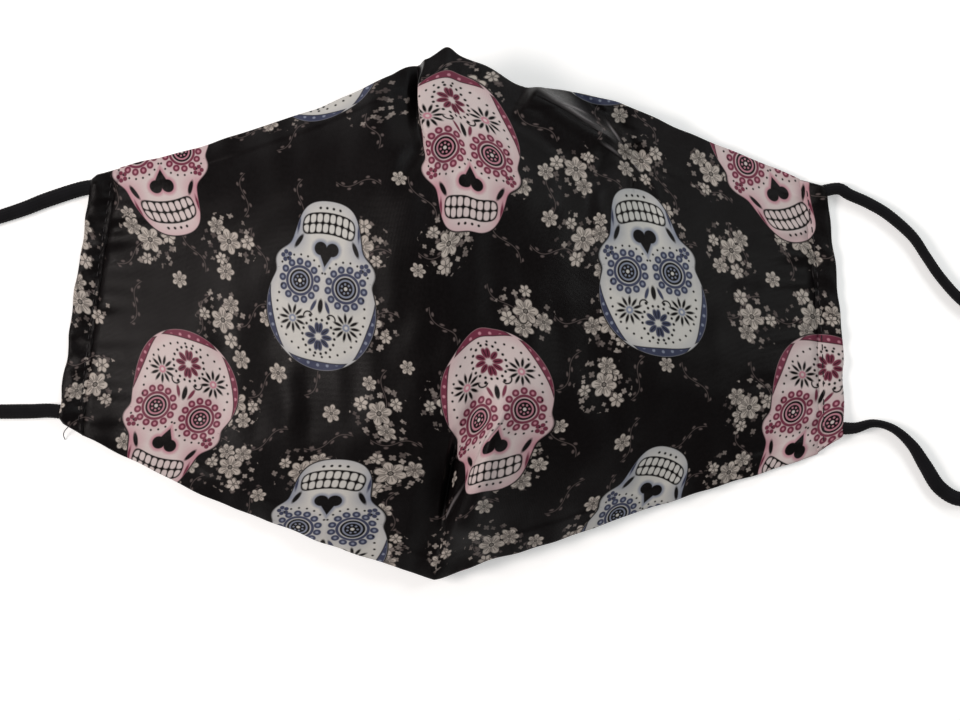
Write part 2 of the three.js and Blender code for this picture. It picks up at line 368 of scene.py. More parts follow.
elastic = elasticMaterial()
makeEarLoop("earLoopLeft", "ear_loop_left", earLoop["leftRoute"], earLoop["leftBreadth"], elastic)
makeEarLoop("earLoopRight", "ear_loop_right", earLoop["rightRoute"], earLoop["rightBreadth"], elastic)
print("ear loops made")


# The panel: one layer of printed satin over a plain one, shaped by two darts

panelLow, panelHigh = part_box("mask_panel")
panel = {
    "halfWidth": 109.5 * mm,
    "halfLength": (panelHigh.y - panelLow.y) / 2,
    "crown": panelHigh.z / 1.019,  # the folds lift the highest point by a fiftieth
    "wall": 1.8 * mm,
    "leftBow": 0.6 * mm,
    "rightBow": 1.9 * mm,
    "noseHollow": 8 * mm,
    "noseFlap": 2.5 * mm,
    "noseDart": 16 * mm,
    "chinDart": 5.5 * mm,
    "chinWidth": 11 * mm,
    "seamTurn": 1.2 * mm,
    "columns": 236,
    "rows": 178,
    "hemTurn": 7 * mm,  # width of the cloth turned under at the top and bottom edges
    "hemRise": 0.24 * mm,
    "rimRound": 0.25,  # how far the edge swells out, in shares of the wall
    "rimShares": (0.2, 0.5, 0.8),  # shares of the wall at which its rings of points lie
    # shares of the length over which the darts' reliefs set in, and the nose pocket closes again
    "noseDeepens": (0.5, 0.78),
    "chinDeepens": (0.32, 0.62),
    "pocketCloses": (0.66, 0.86),
    "endFrom": 0.85,  # where what shapes only the darts' ends begins
    "archPower": 2.4,
    "pocketDepth": 2.6 * mm,  # extra depth beside the nose dart
    "pocketWidth": 4.5 * mm,
    "pocketFill": 6 * mm,  # takes the nose dart's hollow away where it has run out
    "chinFill": (2.4 * mm, 7 * mm),  # the same at the chin's edge, and half its width
    "flapLean": (1.8 * mm, 9 * mm),  # how far the dart's right side leans over, and half its width
    "noseCut": 7 * mm,  # width of cloth cut away in the darts' seams at the edge
    "chinCut": 8 * mm,
    "noseCutFrom": 0.55,  # share of the length where the cut begins
    "chinCutFrom": 0.4,
    "cutReach": 0.45,  # share of the half width over which the cut shifts the print
    # the edge beside the darts: how far it moves out, where, and half the width
    "noseNotches": [(0.8 * mm, -4 * mm, 5 * mm), (-0.9 * mm, 4.5 * mm, 4.5 * mm)],
    "chinNotch": (0.5 * mm, 2.5 * mm),
    "seamWobble": (0.22 * mm, 13 * mm),
    # puckers and waves: height, length of a wave, and how far in from the edge they reach
    "edgePucker": (0.28 * mm, 9 * mm, 7 * mm),
    "sidePucker": (0.42 * mm, 7 * mm, 8 * mm),
    "longWaves": (0.5 * mm, 34 * mm, 30 * mm),
    "shortWaves": (0.1 * mm, 10 * mm, 10 * mm),
    "ripples": 14,  # how many cross to make the waves
}
# shares of half the panel's width and length, and of the crown's height
sectionColumns = ("at", "topX", "topY", "topZ", "lowX", "lowY", "lowZ", "crown")
sections = np.array([
    (-1.0, -0.905, 0.565, 0.06, -1.006, -0.463, 0.06, 0.09),
    (-0.85, -0.76, 0.616, 0.09, -0.855, -0.563, 0.07, 0.24),
    (-0.65, -0.588, 0.688, 0.14, -0.669, -0.69, 0.09, 0.47),
    (-0.45, -0.41, 0.762, 0.25, -0.475, -0.8, 0.13, 0.72),
    (-0.25, -0.23, 0.86, 0.42, -0.283, -0.895, 0.18, 0.94),
    (-0.12, -0.146, 0.91, 0.52, -0.162, -0.953, 0.22, 1.0),
    (0.0, -0.078, 0.941, 0.6, -0.046, -1.0, 0.25, 0.98),
    (0.085, -0.014, 1.0, 0.58, 0.045, -0.966, 0.24, 0.95),
    (0.135, 0.027, 0.962, 0.6, 0.1, -0.937, 0.23, 0.93),
    (0.2, 0.092, 0.926, 0.62, 0.162, -0.909, 0.22, 0.91),
    (0.3, 0.201, 0.852, 0.58, 0.27, -0.868, 0.2, 0.85),
    (0.42, 0.313, 0.852, 0.4, 0.388, -0.812, 0.17, 0.75),
    (0.55, 0.434, 0.815, 0.28, 0.527, -0.745, 0.13, 0.62),
    (0.7, 0.604, 0.718, 0.18, 0.684, -0.675, 0.1, 0.43),
    (0.85, 0.777, 0.617, 0.11, 0.842, -0.608, 0.08, 0.25),
    (1.0, 0.95, 0.522, 0.06, 1.0, -0.528, 0.06, 0.09),
])
# the darts' line: share of the length, and how far it bows aside
centreLine = np.array([
    (-1.0, 0.0), (-0.77, 0.035), (-0.45, 0.075), (0.0, 0.052), (0.45, 0.032), (0.75, 0.0), (1.0, 0.0),
])
# folds: name, from, to, width to each side, rise, and the shares over which they fade in and out
folds = [
    ("noseRidge", (0.2, 0.85), (0.48, 0.6), 0.045, 0.12, 0.13, 0.1, 0.3),
    ("backValley", (0.26, 0.92), (0.56, 0.68), 0.08, 0.075, -0.11, 0.3, 0.4),
    ("pinch", (0.44, 0.64), (0.54, 0.56), 0.05, 0.05, -0.1, 0.45, 0.45),
    ("pinchTop", (0.48, 0.62), (0.44, 0.82), 0.035, 0.035, -0.04, 0.3, 0.4),
    ("pinchTail", (0.49, 0.6), (0.56, 0.22), 0.05, 0.06, -0.06, 0.3, 0.6),
    ("pinchRoll", (0.4, 0.58), (0.43, 0.18), 0.07, 0.06, 0.045, 0.3, 0.6),
    ("chinRidge", (-0.02, -0.9), (0.22, -0.05), 0.07, 0.16, 0.11, 0.15, 0.5),
    ("leftValley", (-0.57, 0.25), (-0.6, -0.6), 0.11, 0.11, -0.045, 0.4, 0.4),
    ("leftRoll", (-0.36, 0.55), (-0.34, -0.2), 0.12, 0.12, 0.035, 0.4, 0.4),
]
# small creases that only the finished cloth has, in the same columns
creases = [
    ("tipLeft", (-0.05, 0.66), (-0.16, 0.42), 0.03, 0.05, -0.03, 0.3, 0.6),
    ("tipRight", (-0.04, 0.66), (0.04, 0.4), 0.05, 0.03, -0.03, 0.3, 0.6),
    ("pinchSpokeA", (0.5, 0.58), (0.66, 0.5), 0.03, 0.03, -0.03, 0.3, 0.6),
    ("pinchSpokeB", (0.47, 0.6), (0.34, 0.42), 0.03, 0.035, -0.03, 0.3, 0.6),
    ("chinSpokeA", (0.02, -0.46), (-0.08, -0.2), 0.035, 0.035, -0.025, 0.3, 0.6),
    ("chinSpokeB", (0.03, -0.46), (0.12, -0.18), 0.03, 0.035, -0.02, 0.3, 0.6),
    ("rightFlank", (0.3, -0.1), (0.42, -0.7), 0.08, 0.09, 0.025, 0.4, 0.4),
    ("leftLow", (-0.45, -0.1), (-0.42, -0.7), 0.07, 0.07, 0.03, 0.4, 0.4),
    ("chinEdge", (-0.025, -0.95), (0.21, -0.1), 0.03, 0.055, 0.07, 0.1, 0.7),
    ("chinValley", (-0.03, -0.84), (0.022, -0.4), 0.016, 0.02, -0.1, 0.4, 0.3),
    ("noseEdge", (0.17, 0.9), (0.49, 0.61), 0.02, 0.06, 0.04, 0.2, 0.25),
    ("backCrease", (0.24, 0.93), (0.5, 0.66), 0.03, 0.03, -0.06, 0.3, 0.35),
]


def readTable(keys, values, place):
    # a table's values at places between its rows, along a smooth curve
    row = np.clip(np.searchsorted(keys, place) - 1, 0, len(keys) - 2)
    before = np.maximum(np.arange(len(keys)) - 1, 0)
    after = np.minimum(np.arange(len(keys)) + 1, len(keys) - 1)
    slopes = (values[after] - values[before]) / (keys[after] - keys[before])
    step = keys[row + 1] - keys[row]
    share = (place - keys[row]) / step
    rest = 1 - share
    ends = values[row] * rest**2 * (1 + 2 * share) + values[row + 1] * share**2 * (3 - 2 * share)
    return ends + step * share * rest * (slopes[row] * rest - slopes[row + 1] * share)


def section(column, across):
    return readTable(sections[:, 0], sections[:, sectionColumns.index(column)], across)


def ramp(value, low, high):
    share = np.clip((value - low) / (high - low), 0, 1)
    return share * share * (3 - 2 * share)


def swell(distance, width):
    return (1 - np.minimum(np.abs(distance / width), 1) ** 2) ** 2


def foldHeight(x, y, start, end, left, right, rise, starts, ends):
    startX, startY = start[0] * panel["halfWidth"], start[1] * panel["halfLength"]
    lineX, lineY = end[0] * panel["halfWidth"] - startX, end[1] * panel["halfLength"] - startY
    length = math.hypot(lineX, lineY)
    share = np.clip(((x - startX) * lineX + (y - startY) * lineY) / length**2, 0, 1)
    aside = (lineX * (y - startY) - lineY * (x - startX)) / length
    width = np.where(aside > 0, left, right) * panel["halfWidth"]
    return rise * panel["crown"] * ramp(share, 0, starts) * ramp(1 - share, 0, ends) * swell(aside, width)


def waves(x, y, length, seed):
    # gentle relief of about one unit, made of crossing ripples of one length
    draw = np.random.default_rng(seed)
    height = np.zeros_like(x)
    for _ in range(panel["ripples"]):
        heading, phase = draw.uniform(0, 2 * np.pi, 2)
        pitch = length * draw.uniform(0.7, 1.5)
        height += np.sin((x * np.cos(heading) + y * np.sin(heading)) * 2 * np.pi / pitch + phase)
    return height / math.sqrt(panel["ripples"] / 2)


def domePlace(across, along):
    # the cloth without its folds, and the darts' line at the same height
    def between(low, top, place):
        share = (along + 1) / 2
        return section(low, place) * (1 - share) + section(top, place) * share
    bow = readTable(*centreLine.T, along)
    sideBow = np.where(across < 0, -panel["leftBow"], panel["rightBow"]) * across**4 * (1 - along**2)
    x = (between("lowX", "topX", across) + bow * (1 - np.abs(across))) * panel["halfWidth"] + sideBow
    seamX = (between("lowX", "topX", 0 * across) + bow) * panel["halfWidth"]
    y = between("lowY", "topY", across) * panel["halfLength"]
    arch = 1 - np.abs(along) ** panel["archPower"]
    swollen = section("crown", across) - (section("lowZ", across) + section("topZ", across)) / 2
    z = (between("lowZ", "topZ", across) + swollen * arch) * panel["crown"]
    return x, y, z, seamX


def clothPlace(across, along, fine=False):
    x, y, z, seamX = domePlace(across, along)
    fromSeam = x - seamX
    noseFade = ramp(along, *panel["noseDeepens"])
    chinFade = ramp(-along, *panel["chinDeepens"])
    overFlap = ramp(fromSeam, -panel["seamTurn"], panel["seamTurn"])
    nose = panel["noseFlap"] * overFlap - panel["noseHollow"] * (1 - overFlap)
    relief = noseFade * nose * swell(fromSeam, panel["noseDart"])
    relief -= chinFade * panel["chinDart"] * swell(fromSeam, panel["chinWidth"])
    for _, *fold in folds + (creases if fine else []):
        relief = relief + foldHeight(x, y, *fold)
    z = z + relief * (1 - across**8)
    if fine:
        x, y, z = fineRelief(x, y, z, fromSeam, across, along, noseFade, overFlap)
    return np.stack([x, y, z], -1)


def fineRelief(x, y, z, fromSeam, across, along, noseFade, overFlap):
    halfHeight = (section("topY", across) - section("lowY", across)) / 2 * panel["halfLength"]
    fromTop, fromLow = (1 - along) * halfHeight, (1 + along) * halfHeight
    fromSide = (1 - np.abs(across)) * panel["halfWidth"]
    fromEdge = np.minimum(fromTop, fromLow)
    z = z + panel["hemRise"] * ramp(fromEdge, panel["hemTurn"], panel["hemTurn"] * 0.8)
    height, length, reach = panel["edgePucker"]
    z = z + height * np.exp(-fromEdge / reach) * waves(x, 0.25 * y, length, 3)
    height, length, reach = panel["sidePucker"]
    pulled = np.exp(-fromSide / reach) * ramp(fromSide, -1 * mm, 2 * mm)
    z = z + height * pulled * waves(0.15 * x, y, length, 5)
    height, length, reach = panel["longWaves"]
    z = z + height * waves(x, 0.6 * y, length, 11) * ramp(fromSide, 0, reach)
    height, length, reach = panel["shortWaves"]
    z = z + height * waves(x, y, length, 17) * ramp(fromSide, 0, reach)
    inside = 1 - ramp(along, 0.9, 1)
    # the pocket fades out sooner than the plain solid's does
    closed = noseFade - ramp(along, *panel["pocketCloses"])
    z = z + panel["pocketFill"] * closed * (1 - overFlap) * swell(fromSeam, panel["noseDart"])
    noseFade = noseFade - closed
    pocket = noseFade * (1 - overFlap) * swell(fromSeam, panel["pocketWidth"]) * (0.3 + 0.7 * inside)
    z = z - panel["pocketDepth"] * pocket
    noseEnd, chinEnd = ramp(along, panel["endFrom"], 1), ramp(-along, panel["endFrom"], 1)
    height, reach = panel["chinFill"]
    z = z + height * chinEnd * swell(fromSeam, reach)
    height, length = panel["seamWobble"]
    y = y + height * waves(x, 0 * y, length, 29) * (noseEnd + chinEnd)
    for height, middle, reach in panel["noseNotches"]:
        y = y + height * noseEnd * swell(fromSeam - middle, reach)
    height, reach = panel["chinNotch"]
    y = y - height * chinEnd * np.exp(-np.abs(fromSeam) / reach)
    height, reach = panel["flapLean"]
    x = x - height * noseFade * overFlap * swell(fromSeam, reach) * inside
    return x, y, z


def clothGrid():
    # grid lines lie closer together at the darts and at the edges
    column = np.linspace(-1, 1, panel["columns"] + 1)
    row = np.linspace(-1, 1, panel["rows"] + 1)
    across = column * (0.5 + 0.5 * column**2)
    along = 0.6 * row + 0.4 * np.sin(row * np.pi / 2)
    return np.meshgrid(across, along)


def clothNormals(across, along):
    reach = 0.03  # wide enough to look past the finest folds

    def pointAt(a, b):
        return clothPlace(np.clip(a, -1, 1), np.clip(b, -1, 1))
    right = pointAt(across + reach, along) - pointAt(across - reach, along)
    up = pointAt(across, along + reach) - pointAt(across, along - reach)
    return unit(np.cross(right, up))


def runAlong(steps, middle):
    # adds steps along the second axis up into distances from the middle
    run = np.concatenate([np.zeros((len(steps), 1)), np.cumsum(steps, 1)], 1)
    return run - run[:, middle:middle + 1]


def flatPlaces(across, along):
    # where each point of the panel lay on the flat cloth, and how far the darts' seams part it there
    x, y, z, _ = domePlace(across, along)
    dome = np.stack([x, y, z], -1)
    cloth = clothPlace(across, along, fine=True)
    stepsAcross = np.linalg.norm(np.diff(dome, axis=1), axis=-1)
    folded = np.linalg.norm(np.diff(cloth, axis=1), axis=-1) - stepsAcross
    nearDarts = ramp(panel["cutReach"] - np.abs(across), 0, panel["cutReach"])
    middle = panel["columns"] // 2
    u = runAlong(stepsAcross, middle) + runAlong(folded, middle) * nearDarts
    stepsUp = np.linalg.norm(np.diff(dome, axis=0), axis=-1)
    v = runAlong(stepsUp.T, panel["rows"] // 2).T
    noseCut = panel["noseCut"] * ramp(along, panel["noseCutFrom"], 1.0)
    chinCut = panel["chinCut"] * ramp(-along, panel["chinCutFrom"], 1.0)
    return u, v, (noseCut + chinCut) / 2 * nearDarts


def makePanel(satin, lining):
    across, along = clothGrid()
    outer = clothPlace(across, along, fine=True)
    normals = clothNormals(across, along)
    inner = outer - normals * panel["wall"]
    rows, columns = across.shape
    middle = (columns - 1) // 2
    layer = rows * columns
    index = np.arange(layer).reshape(rows, columns)
    loop = np.concatenate([index[0, :-1], index[:-1, -1], index[-1, :0:-1], index[:0:-1, 0]])
    outerFlat, innerFlat = outer.reshape(-1, 3), inner.reshape(-1, 3)
    ahead = outerFlat[np.roll(loop, -1)] - outerFlat[np.roll(loop, 1)]
    away = unit(np.cross(ahead, normals.reshape(-1, 3)[loop]))
    rim, rimShares = [], panel["rimShares"]
    for share in rimShares:
        bulge = panel["wall"] * panel["rimRound"] * math.sqrt(1 - (2 * share - 1) ** 2)
        rim.append(outerFlat[loop] * (1 - share) + innerFlat[loop] * share + away * bulge)
    points = np.vstack([outerFlat, innerFlat, *rim])
    u, v, shift = flatPlaces(across, along)
    left = np.stack([u - shift, v], -1).reshape(-1, 2)
    right = np.stack([u + shift, v], -1).reshape(-1, 2)

    def quads(grid, flip):
        face = np.stack([grid[:-1, :-1], grid[:-1, 1:], grid[1:, 1:], grid[1:, :-1]], -1)
        return (face[..., ::-1] if flip else face).reshape(-1, 4)
    onLeft = np.broadcast_to(np.arange(columns - 1) < middle, (rows - 1, columns - 1)).ravel()
    outerFaces, innerFaces = quads(index, False), quads(index + layer, True)
    rimRings = [2 * layer + k * len(loop) + np.arange(len(loop)) for k in range(len(rimShares))]
    rings = [loop, *rimRings, loop + layer]
    rimFaces = np.vstack([
        np.stack([low, high, np.roll(high, -1), np.roll(low, -1)], 1)
        for low, high in zip(rings, rings[1:])
    ])
    rimStrip = np.stack([loop, loop, np.roll(loop, -1), np.roll(loop, -1)], 1)
    rimSource = np.vstack([rimStrip] * (len(rings) - 1))
    rimLeft = (rimSource % columns).min(1) < middle
    faces = np.vstack([outerFaces, innerFaces, rimFaces])
    source = np.vstack([outerFaces, innerFaces - layer, rimSource])
    isLeft = np.concatenate([onLeft, onLeft, rimLeft])
    uv = np.where(isLeft[:, None, None], left[source], right[source])
    # the print runs on over the rim
    outwards = np.stack([loop % columns == columns - 1, loop // columns == rows - 1], 1) * 1.0
    outwards -= np.stack([loop % columns == 0, loop // columns == 0], 1)
    after = np.roll(outwards, -1, 0)
    turned = [share * panel["wall"] for share in (0, *rimShares, 1)]
    rimTurn = np.vstack([
        np.stack([outwards * near, outwards * far, after * far, after * near], 1)
        for near, far in zip(turned, turned[1:])
    ])
    uv[len(outerFaces) + len(innerFaces):] += rimTurn
    inside = np.concatenate([
        np.zeros(len(outerFaces)), np.ones(len(innerFaces)), np.arange(len(rimFaces)) >= 3 * len(loop),
    ])
    materials = [satin, lining]
    piece = meshPiece("maskCloth", points, faces.tolist(), materials, uv / mm, inside)
    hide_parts("mask_panel")
    stretch = np.cross(outer[1:, 1:] - outer[:-1, :-1], outer[1:, :-1] - outer[:-1, 1:])
    area = np.linalg.norm(stretch, axis=-1).sum() / 2
    width, length = np.ptp(u, axis=1).max(), np.ptp(v, axis=0).max()
    print("panel cloth:", round(width / mm), "x", round(length / mm), "mm,", round(area * 1e4), "cm2")
    return piece, width, length, area


# The print: calaveras, blossoms and sprigs of this file's own drawing, in millimetres of flat cloth

printed = {
    "black": colour(14, 11, 11),
    "roseBone": colour(196, 182, 180),
    "blueBone": colour(188, 186, 181),
    "cream": colour(184, 175, 166),
    "twig": colour(94, 84, 82),
    # painted highlight: pale colour laid on the wrinkles' crests in place of satin glints
    "crestGlint": colour(168, 160, 162),
    "roseDeep": colour(106, 50, 66),
    "roseLight": colour(176, 122, 134),
    "blueDeep": colour(58, 62, 82),
    "blueLight": colour(122, 128, 144),
    "columnPitch": 50.0,  # every second column is blue, hangs upside down and sits half a row lower
    "rowPitch": 77.0,
    "tilt": math.radians(11),
    "startU": -11.0,
    "startV": 9.0,
    "clusterPitch": 23.0,
    "clusterShare": 0.76,
    "clusterReach": 8.4,
    "blossomRadius": 3.9,
    "singlePitch": 14.5,
    "singleShare": 0.42,
    "singleRadius": 3.2,
    "floretPitch": 3.1,
    "floretShare": 0.6,
    "floretRadius": 1.05,
    "floretTurns": (0.3, 1.0),  # radians, one to each of the layers of florets
    "floretReach": 8.6,  # how far round a cluster the florets lie
    "sprigPitch": 19.0,
    "edge": 0.3,  # softness of a printed edge
    "darkLine": 0.4,  # width of the line left round each drawing
    "singleStart": (6.0, 3.0),  # single blossoms don't share the clusters' squares
    "raggedness": 4.4,  # how unevenly the florets end round a cluster
    "warpPitch": 0.42,
    "weftPitch": 0.36,
    "weaveHeight": 0.04,
}


class Ink:
    # draws shapes as distances in millimetres, below zero inside
    def __init__(self, tree, x, y):
        self.tree, self.x, self.y = tree, x, y
        self.kept = {}

    def moved(self, x, y):
        return Ink(self.tree, self.x - x, self.y - y)

    def turned(self, angle):
        cosine, sine = math.cos(angle), math.sin(angle)
        return Ink(self.tree, self.x * cosine + self.y * sine, self.y * cosine - self.x * sine)

    def turnedBy(self, angle):
        cosine, sine = angle.cos(), angle.sin()
        return Ink(self.tree, self.x * cosine + self.y * sine, self.y * cosine - self.x * sine)

    def reach(self):
        if "reach" not in self.kept:
            self.kept["reach"] = (self.x * self.x + self.y * self.y).root()
        return self.kept["reach"]

    def heading(self):
        if "heading" not in self.kept:
            self.kept["heading"] = self.tree.math("ARCTAN2", self.y, self.x)
        return self.kept["heading"]

    def disc(self, radius):
        return self.reach() - radius

    def ring(self, radius, halfWidth):
        return abs(self.reach() - radius) - halfWidth

    def oval(self, wide, high):
        squashed = Ink(self.tree, self.x / wide, self.y / high)
        return (squashed.reach() - 1.0) * min(wide, high)

    def bar(self, halfWide, halfHigh, rounded=0.0):
        corner = max(rounded * 1.8, 0.001)
        return (abs(self.x) - halfWide).math("SMOOTH_MAX", abs(self.y) - halfHigh, corner)

    def spokes(self, count, radius, turn=0.5):
        # folds the plane so that one shape at the radius repeats round the middle
        part = 2 * math.pi / count
        angle = ((self.heading() / part + turn).fract() - 0.5) * part
        return Ink(self.tree, self.reach() * angle.cos() - radius, self.reach() * angle.sin())


def filled(distance, softness=printed["edge"]):
    # one inside a shape, nothing outside it
    return distance.math("MULTIPLY_ADD", -1 / softness, 0.5, clamp=True)


def unite(*distances):
    whole = distances[0]
    for distance in distances[1:]:
        whole = whole.least(distance)
    return whole


def curl(ink, radius, angle):
    # half a ring that ends in a bead
    turned = ink.turned(angle)
    return unite(turned.ring(radius, 0.24).most(-turned.y), turned.moved(0.6 * radius, 0.1).disc(0.5))


def calavera(ink):
    # a skull 34 mm wide and 51 mm high, decked with flowers; its halves mirror each other
    half = Ink(ink.tree, abs(ink.x), ink.y)
    dome = half.moved(0, 6.5)
    cheek = half.moved(0, -5.6).oval(15.6, 7.4)
    jawWidth = half.x * (0.65 - half.y * 0.021)  # wider at the hinge than at the chin
    jaw = Ink(ink.tree, jawWidth, half.y + 16.6 - half.x * half.x * 0.03).bar(10.0, 9.0, 4.6)
    bone = dome.oval(17, 17.6).blendMin(cheek, 2.0).blendMin(jaw, 2.2)

    eye = half.moved(7.3, -0.8)
    socket = eye.disc(3.3)
    eyeRing = eye.ring(4.05, 0.42)
    petals = eye.spokes(13, 5.55)
    eyePetals = petals.disc(1.12)
    petalHearts = petals.disc(0.42)
    iris = unite(eye.spokes(7, 1.35).disc(0.3), eye.ring(2.4, 0.24))
    eyeLace = eye.spokes(21, 7.6).disc(0.34).most(half.y + 3.4)

    nostril = half.moved(1.85, -11.2).disc(2.0)
    wedge = (half.x * 0.88 + (half.y + 5.9) * 0.47).most(-11.6 - half.y)
    nose = unite(nostril, wedge)
    hollow = half.moved(9.0, -12.3).turned(math.radians(62)).oval(2.4, 0.7)

    smile = half.y + 18.9 - half.x * half.x * 0.024
    across = ((ink.x / 2.05).fract() - 0.5) * 2.05
    mouth = Ink(ink.tree, half.x, smile).bar(8.4, 3.3, 2.4)
    teeth = Ink(ink.tree, across, abs(smile) - 1.5).bar(0.82, 1.32, 0.8).most(mouth + 0.4)
    chinDots = Ink(ink.tree, across, smile + 4.6).disc(0.42).most(half.x - 4.4)

    crown = half.moved(0, 14.3)
    crownPetals = crown.spokes(9, 2.6)
    rosette = crownPetals.oval(1.6, 0.82)
    veins = crownPetals.bar(0.95, 0.13)
    pearls = crown.spokes(18, 5.0).disc(0.42)
    sprayFrom = half.moved(8.4, 10.4)
    spray = sprayFrom.spokes(11, 2.7).oval(1.4, 0.45)
    sprayHeart = sprayFrom.ring(0.8, 0.32)
    # crescents along the dome's edge: one at the top and two at each side
    crescent = abs((dome.heading() * 2.5 + 0.785).sin()) * 2.1 - 0.35
    band = (abs(dome.reach() - 16.9) - crescent).most(1.2 - half.y)
    bandDots = dome.spokes(34, 16.2, turn=0.0).disc(0.45).most(band + 0.5)
    lace = unite(dome.spokes(34, 13.7).disc(0.36), abs(band + 0.05) - 0.1).most(1.2 - half.y)
    drop = half.moved(0, 5.4).oval(0.8, 2.1)
    sideLeaf = half.moved(2.2, 5.6).turned(math.radians(66)).oval(1.9, 0.55)
    browCurl = curl(half.moved(3.6, 8.9), 1.35, math.radians(200))
    cheekFlower = half.moved(12.4, -7.2)
    cheekPetals = cheekFlower.spokes(5, 1.15).disc(0.72)
    jawStripe = half.moved(9.5, -17.4).turned(math.radians(86)).oval(2.6, 0.4)

    deep = unite(eyeRing, eyePetals, rosette, cheekPetals, band, sideLeaf, jawStripe)
    light = unite(petalHearts, bandDots, cheekFlower.disc(0.4), sprayHeart, iris)
    holes = unite(socket, nose, hollow, mouth)
    dark = unite(holes, pearls, veins, spray, lace, drop, chinDots, browCurl, eyeLace)
    bright = unite(eye.disc(0.5), teeth, crown.disc(0.8))
    atJaw = ((half.x - 5.0) / 5.0).math("MULTIPLY", 0.8, clamp=True) * filled(half.y + 9.5, 5.0)
    glow = (filled(nose - 0.8, 0.9) * 0.8).most(filled(eye.disc(7.2), 2.4) * 0.3).most(atJaw)
    return bone, glow, deep, light, dark, bright


def scatter(tree, u, v, pitch, room):
    # squares of cloth, with zero at a random point near each one's middle, and its three random numbers
    column, row = (u / pitch).floor(), (v / pitch).floor()
    place = tree.add("ShaderNodeCombineXYZ", {}, {0: column, 1: row})
    dice = tree.add("ShaderNodeTexWhiteNoise", {"noise_dimensions": "2D"}, {"Vector": place}, "Color")
    first, second, third = tree.add("ShaderNodeSeparateColor", {}, {0: dice}, 0, 1, 2)
    cell = Ink(tree, u - (column + 0.5) * pitch, v - (row + 0.5) * pitch)
    return cell.moved((first - 0.5) * room, (second - 0.5) * room), first, second, third


def blossom(flower, radius, streaked):
    # six round petals parted by thin gaps, each with three streaks, round a dark heart
    wave = abs((flower.heading() * 3.0).cos())
    petal = flower.reach() - (wave * 0.38 + 0.62) * radius
    gap = wave * flower.reach() / 3.0 - 0.09
    heart = flower.ring(0.15 * radius, 0.05 * radius)
    dark = unite(gap, heart, abs(petal) - 0.11)
    if streaked:
        streak = abs((flower.heading() * 9.0).sin()) * flower.reach() / 9.0 - 0.07
        dark = unite(dark, streak.most(abs(flower.reach() - 0.52 * radius) - 0.2 * radius))
    return petal, dark


def missing(first, share):
    # a distance that lifts every shape off a part of the cells
    return ((first * 13.0).fract() - share) * 1000.0


def blossomClusters(tree, u, v):
    pitch, radius = printed["clusterPitch"], printed["blossomRadius"]
    middle, first, _, third = scatter(tree, u, v, pitch, pitch - 2 * printed["clusterReach"])
    middle = middle.turnedBy(third * 6.28)
    # place and size of each blossom, from the foremost to the hindmost
    kinds = [((0.0, 0.0), 1.0), ((5.0, 2.5), 0.72), ((-1.2, -6.0), 0.6), ((-4.4, 4.0), 0.48)]
    petals, dark = None, None
    for place, size in kinds:
        petal, marks = blossom(middle.moved(*place), radius * size, size > 0.7)
        dark = marks if petals is None else unite(dark, marks.most(-petals))
        petals = petal if petals is None else unite(petals, petal)
    gone = missing(first, printed["clusterShare"])
    return petals.most(gone), dark, middle.reach().most(gone)


def singleBlossoms(tree, u, v):
    pitch, radius = printed["singlePitch"], printed["singleRadius"]
    middle, first, _, third = scatter(tree, u, v, pitch, pitch - 2 * radius)
    middle = middle.turnedBy(third * 6.28)
    grown = (third * 7.0).fract() * 0.45 + 1.0  # shrinks the blossom by up to a third
    petals, dark = blossom(Ink(tree, middle.x * grown, middle.y * grown), radius, True)
    return petals.most(missing(first, printed["singleShare"])), dark


def florets(tree, u, v, turn):
    # tiny four-petalled florets of many sizes, one to most small squares, and a random tone for each
    pitch, radius = printed["floretPitch"], printed["floretRadius"]
    tilted = Ink(tree, u, v).turned(turn)
    middle, first, second, third = scatter(tree, tilted.x, tilted.y, pitch, pitch - 2 * radius)
    wave = abs(((middle.heading() + third * 6.28) * 2.0).cos())
    petal = middle.reach() - (wave * 0.5 + 0.5) * ((third * 7.0).fract() * 0.5 + 0.5) * radius
    return petal.most(missing(first, printed["floretShare"])), (second * 5.0).fract()


def sprigs(tree, u, v):
    pitch = printed["sprigPitch"]
    stalk, _, _, third = scatter(tree, u, v, pitch, 0.3 * pitch)
    stalk = stalk.turnedBy(third * 6.28)
    bend = stalk.y - (stalk.x * 0.42).sin() * 1.5
    knot = (stalk.x / 1.9).fract() - 0.5
    side = ((stalk.x / 1.9).floor() * 0.5).fract() * 4.0 - 1.0
    buds = Ink(tree, knot * 1.9, bend - side * 0.75).oval(0.55, 0.36)
    return unite(abs(bend) - 0.09, buds).most(abs(stalk.x) - 0.36 * pitch)


# fine wrinkles in the satin: start and end as seen from above, half the width, rise, all in millimetres,
# and how much painted highlight lies on the crest, standing in for the satin's glints
wrinkles = [
    ((23.2, 65.6), (50.0, 49.8), 1.4, 0.55, 0.16),  # ridge from the nose to the pinch
    ((31.0, 62.0), (42.0, 58.4), 0.9, 0.4, 0.3),
    ((36.0, 57.0), (49.0, 50.6), 0.8, -0.35, 0.0),
    ((45.4, 58.8), (51.4, 48.6), 0.9, 0.5, 0.4),
    ((50.4, 49.2), (53.2, 47.2), 1.1, 0.5, 0.8),
    ((52.6, 48.2), (60.6, 43.2), 0.9, 0.5, 0.5),
    ((52.0, 49.0), (58.0, 50.6), 0.8, -0.35, 0.0),
    ((52.2, 47.0), (56.2, 41.4), 0.8, 0.4, 0.5),
    ((42.6, 50.2), (51.4, 45.6), 0.9, 0.4, 0.25),
    ((52.0, 48.0), (53.4, 31.0), 1.3, 0.4, 0.0),
    ((-3.2, -68.0), (6.2, -45.0), 1.2, 0.4, 0.35),  # ridge beside the chin dart
    ((6.2, -45.0), (17.0, -25.0), 1.0, 0.4, 0.2),
]


